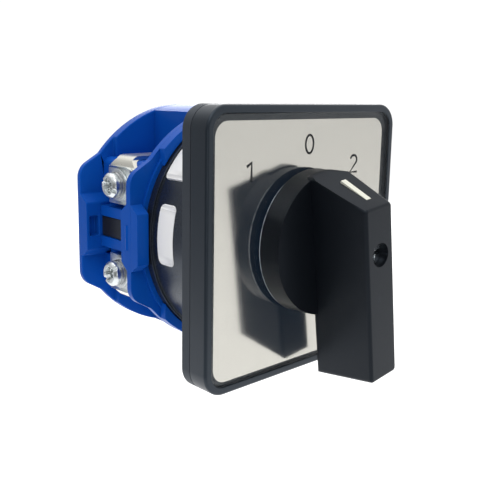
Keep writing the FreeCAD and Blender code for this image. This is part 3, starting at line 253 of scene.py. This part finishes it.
def plainPaint(name, light, dark, rough, gloss=0.5):
    look = {"mottleScale": 500.0, "mottleRough": 0.1, "bump": 0.08}
    finish = Finish(name)
    mottle = finish.noise(look["mottleScale"], detail=4.0)
    finish.shade(Base_Color=finish.blend(mottle, dark, light))
    finish.shade(Roughness=mottle * look["mottleRough"] + rough, Specular_IOR_Level=gloss)
    finish.shade(Normal=finish.bump(mottle, look["bump"]))
    return finish.material


finishes = {
    "bezel": blackPlastic("bezelPlastic", (0.006, 0.009, 0.013), (0.010, 0.014, 0.019),
                          rough=0.28, gloss=0.48),
    "base": blackPlastic("basePlastic", (0.018, 0.022, 0.028), (0.024, 0.028, 0.035),
                         rough=0.46, gloss=0.50),
    "handle": handlePlastic("handlePlastic"),
    "drum": blackPlastic("drumPlastic", (0.009, 0.0115, 0.017), (0.013, 0.016, 0.023),
                         rough=0.22, gloss=0.62),
    "blue": bluePlastic("bluePlastic"),
    "card": brushedCard("brushedCard"),
    "clear": clearCover("clearCover"),
    "zinc": wornMetal("zincPlate", (0.68, 0.715, 0.72), rough=0.22),
    "bright": wornMetal("brightZinc", (0.78, 0.83, 0.86), rough=0.08),
    "steel": wornMetal("drawnSteel", (0.42, 0.43, 0.44), rough=0.32),
    "nickel": wornMetal("nickelBrass", (0.80, 0.785, 0.71), rough=0.22),
    "silver": wornMetal("contactSilver", (0.88, 0.87, 0.84), rough=0.18),
    "pointer": plainPaint("pointerWhite", (0.78, 0.78, 0.68), (0.72, 0.72, 0.62), rough=0.5),
    "digits": plainPaint("digitInk", (0.010, 0.012, 0.016), (0.005, 0.007, 0.010),
                         rough=0.8, gloss=0.03),
    "label": plainPaint("bareLabel", (0.93, 0.93, 0.93), (0.89, 0.89, 0.90), rough=0.42),
    "nylon": plainPaint("naturalNylon", (0.80, 0.78, 0.70), (0.72, 0.70, 0.62), rough=0.45),
    "cam": plainPaint("camResin", (0.42, 0.05, 0.04), (0.34, 0.04, 0.03), rough=0.4),
    "marker": blackPlastic("markerPlastic", (0.010, 0.011, 0.014), (0.018, 0.019, 0.022),
                           rough=0.30, gloss=0.40),
}
print("finishes made:", len(finishes))


# modelling helpers
def deselectAll():
    if bpy.context.object and bpy.context.object.mode != "OBJECT":
        bpy.ops.object.mode_set(mode="OBJECT")
    bpy.ops.object.select_all(action="DESELECT")


def pick(piece):
    deselectAll()
    piece.select_set(True)
    bpy.context.view_layer.objects.active = piece


def openMesh():
    bpy.ops.object.mode_set(mode="EDIT")
    bpy.ops.mesh.select_all(action="SELECT")


def closeMesh():
    bpy.ops.object.mode_set(mode="OBJECT")


def smooth(angle=34.0):
    bpy.ops.object.shade_smooth_by_angle(angle=math.radians(angle))


def nameFor(nodeName):
    # rear_cover becomes rearCover
    first, *others = nodeName.split("_")
    return first + "".join(word.title() for word in others)


def dress(piece, finish, body, slotName, *nodes):
    piece.data.materials.clear()
    piece.data.materials.append(finishes[finish])
    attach(piece, body)
    if nodes:
        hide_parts(*nodes)


def mergedCopy(nodeName, pieceName=None):
    # the CAD node's own triangles, joined up and with its flat faces whole again; it stays picked
    clean = {"merge": 0.002 * mm, "flat": 0.4}
    piece = bpy.data.objects.new(pieceName or nameFor(nodeName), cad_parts[nodeName].data.copy())
    bpy.context.scene.collection.objects.link(piece)
    pick(piece)
    openMesh()
    bpy.ops.mesh.remove_doubles(threshold=clean["merge"])
    bpy.ops.mesh.dissolve_limited(angle_limit=math.radians(clean["flat"]), delimit=set())
    closeMesh()
    return piece


def soften(piece, width, segments=2):
    # rounds the edges that turn by more than the limit, and shades the flats as flat
    edges = {"limit": 28.0, "weight": 60}
    pick(piece)
    bpy.ops.object.modifier_add(type="BEVEL")
    bevel = piece.modifiers[-1]
    bevel.limit_method = "ANGLE"
    bevel.angle_limit = math.radians(edges["limit"])
    bevel.width = width
    bevel.segments = segments
    bevel.use_clamp_overlap = True
    bpy.ops.object.modifier_apply(modifier=bevel.name)
    smooth()
    bpy.ops.object.modifier_add(type="WEIGHTED_NORMAL")
    weighted = piece.modifiers[-1]
    weighted.keep_sharp = True
    weighted.weight = edges["weight"]
    bpy.ops.object.modifier_apply(modifier=weighted.name)


def softCopy(nodeName, finish, body, slotName, edge, segments=2):
    # edge is how wide the rounded edges are, in mm, and 0 leaves them sharp
    piece = mergedCopy(nodeName)
    if edge:
        soften(piece, edge * mm, segments)
    else:
        smooth()
    dress(piece, finish, body, slotName, nodeName)
    return piece


# stage, light and camera
def makeStage():
    # the floor has painted shade: it turns dark behind the camera, where the black plastic mirrors
    # it, and grey to the left, where the card does
    stage = {"drop": 0.16, "wide": 8.0, "white": (0.93, 0.93, 0.93), "glow": 0.22, "rough": 0.9,
             "cloth": (0.03, 0.03, 0.03), "paintedShadeTowards": (-0.73, -0.68, 0.0),
             "paintedShadeFrom": 0.22, "paintedShadeTo": 0.42,
             "grey": (0.36, 0.37, 0.40), "greyTowards": (-0.97, 0.25, 0.0),
             "greyFrom": 0.24, "greyTo": 0.50}
    deselectAll()
    bpy.ops.mesh.primitive_plane_add(size=stage["wide"], location=(0, 0, -stage["drop"]))
    floor = bpy.context.object
    floor.name = "floor"
    finish = Finish("paleFloor")
    # painted shade on the floor: dark behind the camera and grey to the left, for the plastic and the
    # card to mirror
    cloth = finish.place().along(stage["paintedShadeTowards"]).step(stage["paintedShadeFrom"], stage["paintedShadeTo"])
    grey = finish.place().along(stage["greyTowards"]).step(stage["greyFrom"], stage["greyTo"])
    colour = finish.blend(cloth, finish.blend(grey, stage["white"], stage["grey"]), stage["cloth"])
    finish.shade(Base_Color=colour, Roughness=stage["rough"], Specular_IOR_Level=0.0)
    finish.shade(Emission_Color=colour, Emission_Strength=stage["glow"])
    floor.data.materials.append(finish.material)


def makeWorld():
    # a white studio, darker on the camera's own side and to its left, so that dark plastic
    # keeps its depth; the camera itself sees plain white
    studio = {"colour": (1.0, 1.0, 1.0), "light": 1.0, "seen": 1.05, "flagFrom": 0.45, "flagTo": 0.95,
              "flags": (((-0.70, -0.66, -0.02), 0.80), ((-0.75, 0.66, 0.0), 0.50))}
    world = bpy.data.worlds.new("studio")
    bpy.context.scene.world = world
    world.use_nodes = True
    world.node_tree.nodes.clear()
    graph = Graph(world.node_tree)
    place = graph.add("ShaderNodeTexCoord", take="Generated")
    light = studio["light"]
    for direction, amount in studio["flags"]:
        light = place.along(direction).step(studio["flagFrom"], studio["flagTo"], -amount) + light
    lit, seen = (
        graph.add("ShaderNodeBackground", None, {"Color": studio["colour"], "Strength": strength})
        for strength in (light, studio["seen"]))
    ray = graph.add("ShaderNodeLightPath", take="Is Camera Ray")
    mixed = graph.add("ShaderNodeMixShader", None, {0: ray, 1: lit, 2: seen})
    graph.put(world.node_tree.nodes.new("ShaderNodeOutputWorld").inputs["Surface"], mixed)


def makeLights():
    # area lamps that all face the part, with places and sizes in metres
    lamps = {
        "overhead": {"place": (-0.05, 0.25, 0.80), "wide": 0.8, "high": 0.8, "power": 2.6},
        "front": {"place": (-0.46, -0.46, 0.70), "wide": 0.5, "high": 0.5, "power": 2.2},
        "low": {"place": (-0.56, -0.64, -0.09), "wide": 0.22, "high": 0.12, "power": 0.5},
        "behind": {"place": (0.80, 0.85, 0.24), "wide": 0.9, "high": 0.35, "power": 3.4},
    }
    for name, lamp in lamps.items():
        data = bpy.data.lights.new(name, "AREA")
        data.shape = "RECTANGLE"
        data.size = lamp["wide"]
        data.size_y = lamp["high"]
        data.energy = lamp["power"]
        light = bpy.data.objects.new(name, data)
        light.location = lamp["place"]
        light.rotation_euler = (-Vector(lamp["place"])).to_track_quat("-Z", "Y").to_euler()
        bpy.context.scene.collection.objects.link(light)


def makeCamera():
    # the place in mm, the angles in degrees
    view = {"place": (-125.42, -119.46, 34.45), "turn": -43.138, "rise": 10.354, "roll": 1.015,
            "lens": 52.43, "sensor": 36.0, "shift": (-0.00129, -0.04465), "nearest": 5.0}
    turn, rise, roll = (math.radians(view[key]) for key in ("turn", "rise", "roll"))
    back = Vector((math.sin(turn) * math.cos(rise), -math.cos(turn) * math.cos(rise), math.sin(rise)))
    right = (-back).cross(Vector((0, 0, 1))).normalized()
    up = back.cross(right)
    tilted = right * math.cos(roll) + up * math.sin(roll)
    turned = Matrix((tilted, back.cross(tilted), back)).transposed().to_4x4()
    data = bpy.data.cameras.new("camera")
    data.lens = view["lens"]
    data.sensor_width = view["sensor"]
    data.shift_x, data.shift_y = view["shift"]
    data.clip_start = view["nearest"] * mm
    camera = bpy.data.objects.new("camera", data)
    camera.matrix_world = Matrix.Translation(Vector(view["place"]) * mm) @ turned
    bpy.context.scene.collection.objects.link(camera)
    bpy.context.scene.camera = camera


makeCamera()
makeStage()
makeWorld()
makeLights()
print("stage, light and camera are set")


# front plate
def makeCard():
    # in the photo the card reaches closer to the rim, most of all at its foot
    fit = {"wider": 1.0115, "taller": 1.024, "move": (-0.42, -0.04, -0.42)}
    card = softCopy("legend_card", "card", "housing", "card_silver", 0.0)
    card.data.transform(Matrix.Diagonal((fit["wider"], 1.0, fit["taller"], 1.0)))
    card.data.transform(Matrix.Translation(Vector(fit["move"]) * mm))


def makeCover():
    # the clear sheet, thinner than its solid to leave room for the printed digits behind it
    sheet = {"thin": 0.82, "front": -8.12}
    piece = mergedCopy("plate_window", "plateCover")
    openMesh()
    front = (0, sheet["front"] * mm, 0)
    bpy.ops.transform.resize(value=(1, sheet["thin"], 1), center_override=front)
    closeMesh()
    smooth()
    dress(piece, "clear", "housing", "window_clear", "plate_window")


def inkStroke(name, spots, look, place, closed=False):
    # a printed stroke: a round wire along the spots, pressed flat against the card
    data = bpy.data.curves.new(name, "CURVE")
    data.dimensions = "3D"
    data.bevel_depth = look["stroke"] / 2 * mm
    data.bevel_resolution = look["rings"]
    data.use_fill_caps = True
    line = data.splines.new("POLY")
    line.points.add(len(spots) - 1)
    line.use_cyclic_u = closed
    for point, (x, z) in zip(line.points, spots):
        point.co = (x * mm, 0, z * mm, 1)
    piece = bpy.data.objects.new(name, data)
    bpy.context.scene.collection.objects.link(piece)
    pick(piece)
    bpy.ops.object.convert(target="MESH")
    piece = bpy.context.object
    piece.data.transform(Matrix.Scale(look["thick"] / look["stroke"], 4, Vector((0, 1, 0))))
    piece.data.transform(Matrix.Translation(Vector((place[0], look["front"], place[1])) * mm))
    dress(piece, "digits", "housing", "drum_plastic")


def arcSpots(middle, radii, start, end, count=28):
    spots = []
    for i in range(count + 1):
        angle = math.radians(start + (end - start) * i / count)
        spots.append((middle[0] + radii[0] * math.cos(angle), middle[1] + radii[1] * math.sin(angle)))
    return spots


def makeDigits():
    # each stroke runs through spots around the digit's middle, in mm
    look = {"stroke": 0.58, "thick": 0.05, "front": -7.262, "rings": 3}
    bold = dict(look, stroke=0.74)
    inkStroke("digitOne", [(-1.0, 1.25), (0.4, 2.1), (0.4, -2.15)], bold, (-18.85, 17.25))
    ring = arcSpots((0, 0), (1.35, 2.15), 0, 360, 48)[:-1]
    inkStroke("digitZero", ring, look, (0.25, 22.75), closed=True)
    hook = arcSpots((0, 0.95), (1.25, 1.2), 165, -25)
    inkStroke("digitTwo", hook + [(-1.35, -2.1), (1.4, -2.1)], look, (17.0, 17.25))


softCopy("bezel_frame", "bezel", "housing", "bezel_plastic", 0.28, segments=3)
softCopy("base_plate", "base", "housing", "base_plastic", 0.25)
makeCard()
makeCover()
makeDigits()
print("front plate is dressed")


# handle
def makeHandle():
    # on its left the grip's slope runs up to the disc in a gentle curve, so that corner is pared
    # away; the cut passes through three spots, each across the grip, along the axis and up the grip
    grip = {"lean": 7.5, "edge": 0.15,
            "cut": ((4.2, -17.64, 16.78), (-4.6, -14.50, 16.78), (-4.6, -20.80, 14.20))}
    piece = mergedCopy("handle_knob")
    lean = math.radians(grip["lean"])
    up = Vector((-math.sin(lean), 0, math.cos(lean)))
    across = Vector((math.cos(lean), 0, math.sin(lean)))
    start, second, third = (across * aside + Vector((0, along, 0)) + up * high
                            for aside, along, high in grip["cut"])
    facing = (second - start).cross(third - start).normalized()
    openMesh()
    bpy.ops.mesh.bisect(plane_co=start * mm, plane_no=facing, use_fill=True, clear_outer=True)
    closeMesh()
    soften(piece, grip["edge"] * mm)
    dress(piece, "handle", "rotor", "handle_plastic", "handle_knob")


makeHandle()
softCopy("pointer_inlay", "pointer", "rotor", "pointer_white", 0.05)
softCopy("handle_screw", "bright", "rotor", "zinc_steel", 0.1)
print("handle is dressed")


# drum and deck
def makeTerminalScrew(corner, turn):
    # the combined head: the slot from the CAD solid and a cross recess cut into it, then turned
    # as the photo shows
    cut = {"long": 4.7, "wide": 1.15, "deep": 1.7, "taper": 0.7, "turns": (45, 135), "edge": 0.1}
    screw = mergedCopy("terminal_screw_" + corner)
    xs, ys, zs = ([spot.co[i] for spot in screw.data.vertices] for i in range(3))
    top = max(xs, key=abs)
    middle = ((min(ys) + max(ys)) / 2, (min(zs) + max(zs)) / 2)
    for angle in cut["turns"]:
        deselectAll()
        bpy.ops.mesh.primitive_cube_add(size=1.0)
        blade = bpy.context.object
        size = (cut["deep"] * 2 * mm, cut["long"] * mm, cut["wide"] * mm, 1)
        blade.data.transform(Matrix.Diagonal(size))
        for spot in blade.data.vertices:
            if spot.co.x * top < 0:
                spot.co.y *= cut["taper"]
                spot.co.z *= cut["taper"]
        blade.data.transform(Matrix.Rotation(math.radians(angle), 4, "X"))
        blade.data.transform(Matrix.Translation((top, *middle)))
        pick(screw)
        bpy.ops.object.modifier_add(type="BOOLEAN")
        carve = screw.modifiers[-1]
        carve.operation = "DIFFERENCE"
        carve.solver = "EXACT"
        carve.object = blade
        bpy.ops.object.modifier_apply(modifier=carve.name)
        pick(blade)
        bpy.ops.object.delete()
    about = Matrix.Translation((0, *middle))
    screw.data.transform(about @ Matrix.Rotation(math.radians(turn), 4, "X") @ about.inverted())
    soften(screw, cut["edge"] * mm)
    dress(screw, "zinc", "housing", "zinc_steel", "terminal_screw_" + corner)


softCopy("drum_housing", "drum", "housing", "drum_plastic", 0.2)
for level in ("upper", "lower"):
    softCopy("drum_label_" + level, "label", "housing", "label_white", 0.0)
softCopy("adapter_plate", "blue", "housing", "blue_plastic", 0.2)
softCopy("deck_housing", "blue", "housing", "blue_plastic", 0.25)
softCopy("rear_cover", "blue", "housing", "blue_plastic", 0.3)
softCopy("tie_bolts", "zinc", "housing", "zinc_steel", 0.15)
screwTurns = {"upper_left": 25.0, "upper_right": 20.0, "lower_left": -38.0, "lower_right": 75.0}
for corner, turn in screwTurns.items():
    softCopy("terminal_" + corner, "nickel", "housing", "terminal_metal", 0.12)
    makeTerminalScrew(corner, turn)
softCopy("wire_clamps", "zinc", "housing", "zinc_steel", 0.12)
softCopy("flat_washers", "zinc", "housing", "zinc_steel", 0.1)
softCopy("spring_washers", "steel", "housing", "spring_steel", 0.1)
for side in ("left", "right"):
    softCopy("marker_strip_" + side, "marker", "housing", "marker_plastic", 0.15)
print("drum and deck are dressed")


# springs
def makeSpring(nodeName):
    # a smooth-shaded copy of the CAD coil, in spring steel
    spring = mergedCopy(nodeName)
    smooth(angle=50.0)
    spring.data.materials.clear()
    spring.data.materials.append(finishes["steel"])
    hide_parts(nodeName)
    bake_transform(spring)


for level in ("upper", "lower"):
    makeSpring("contact_spring_" + level)
    makeSpring("detent_spring_" + level)
print("springs are coiled")

# the inner pieces keep their CAD shape
inside = {
    "zinc": ["base_screws", "tie_nuts"],
    "steel": ["shaft", "stop_plate"],
    "nylon": ["star_wheel", "detent_pawl_upper", "detent_pawl_lower",
              "plunger_upper", "plunger_lower"],
    "cam": ["contact_cam"],
    "nickel": ["contact_bridge_upper", "contact_bridge_lower"],
    "silver": ["bridge_tips_upper", "bridge_tips_lower", "fixed_contact_tips"],
}
for finish, names in inside.items():
    for name in names:
        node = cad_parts[name]
        node.data.materials.clear()
        node.data.materials.append(finishes[finish])
print("inner pieces are dressed")
